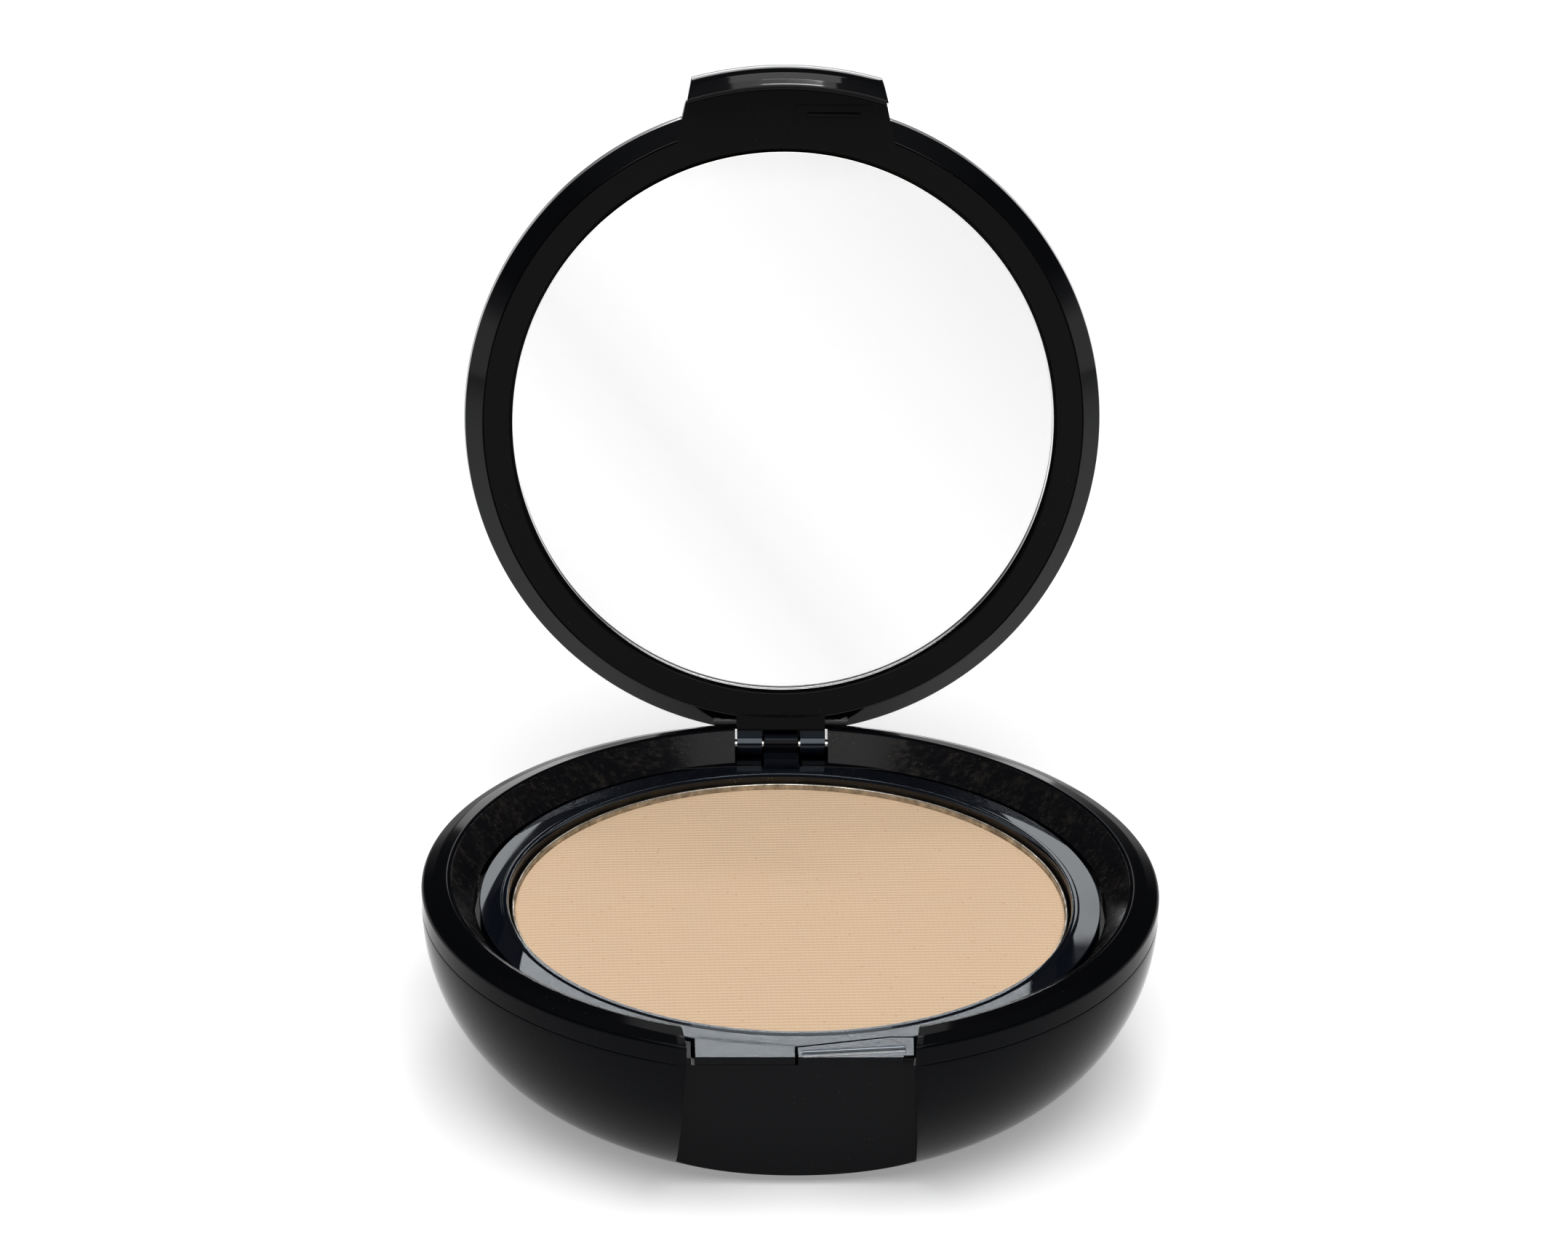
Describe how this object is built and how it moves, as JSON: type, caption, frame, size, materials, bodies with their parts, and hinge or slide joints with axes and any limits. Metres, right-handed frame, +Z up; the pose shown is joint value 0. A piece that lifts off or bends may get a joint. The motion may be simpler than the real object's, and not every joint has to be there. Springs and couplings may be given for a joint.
{
  "type": "powder compact",
  "caption": "Round powder compact with a mirror lid on a rear hinge, a tray of pressed powder and a deep lower compartment.",
  "frame": {"origin": "centre of the flat foot that the base stands on", "axes": "+Z up along the axis of the base, -Y to the front with the thumb recess, +Y to the hinge, X along the hinge pin"},
  "size_m": [0.078, 0.0966, 0.0941],
  "materials": {
    "black_plastic": "high gloss moulded black",
    "frame_plastic": "gloss moulded black",
    "steel": "drawn wire",
    "pan_metal": "stamped, dusty",
    "glue": "set adhesive",
    "powder": "pressed powder with a woven surface",
    "puff": "velour",
    "label": "blank film",
    "glass": "clear, polished",
    "silver": "silvered",
    "tape": "double sided adhesive"
  },
  "bodies": {
    "base": {"base_bowl": "black_plastic", "base_collar": "black_plastic", "latch_keeper": "black_plastic", "hinge_pin": "steel", "powder_tray": "black_plastic", "powder_pan": "pan_metal", "pan_glue": "glue", "pressed_powder": "powder", "applicator_puff": "puff", "foot_label": "label"},
    "lid": {"lid_shell": "black_plastic", "lid_frame": "frame_plastic", "latch_hook": "frame_plastic", "mirror_glass": "glass", "mirror_silvering": "silver", "mirror_tape": "tape"}
  },
  "joints": [
    {"name": "lid_hinge", "type": "hinge", "parent": "base", "child": "lid", "pos_m": [0, 0.0365, 0.01965], "axis": [-1, 0, 0], "range_deg": [-104, 0]}
  ]
}
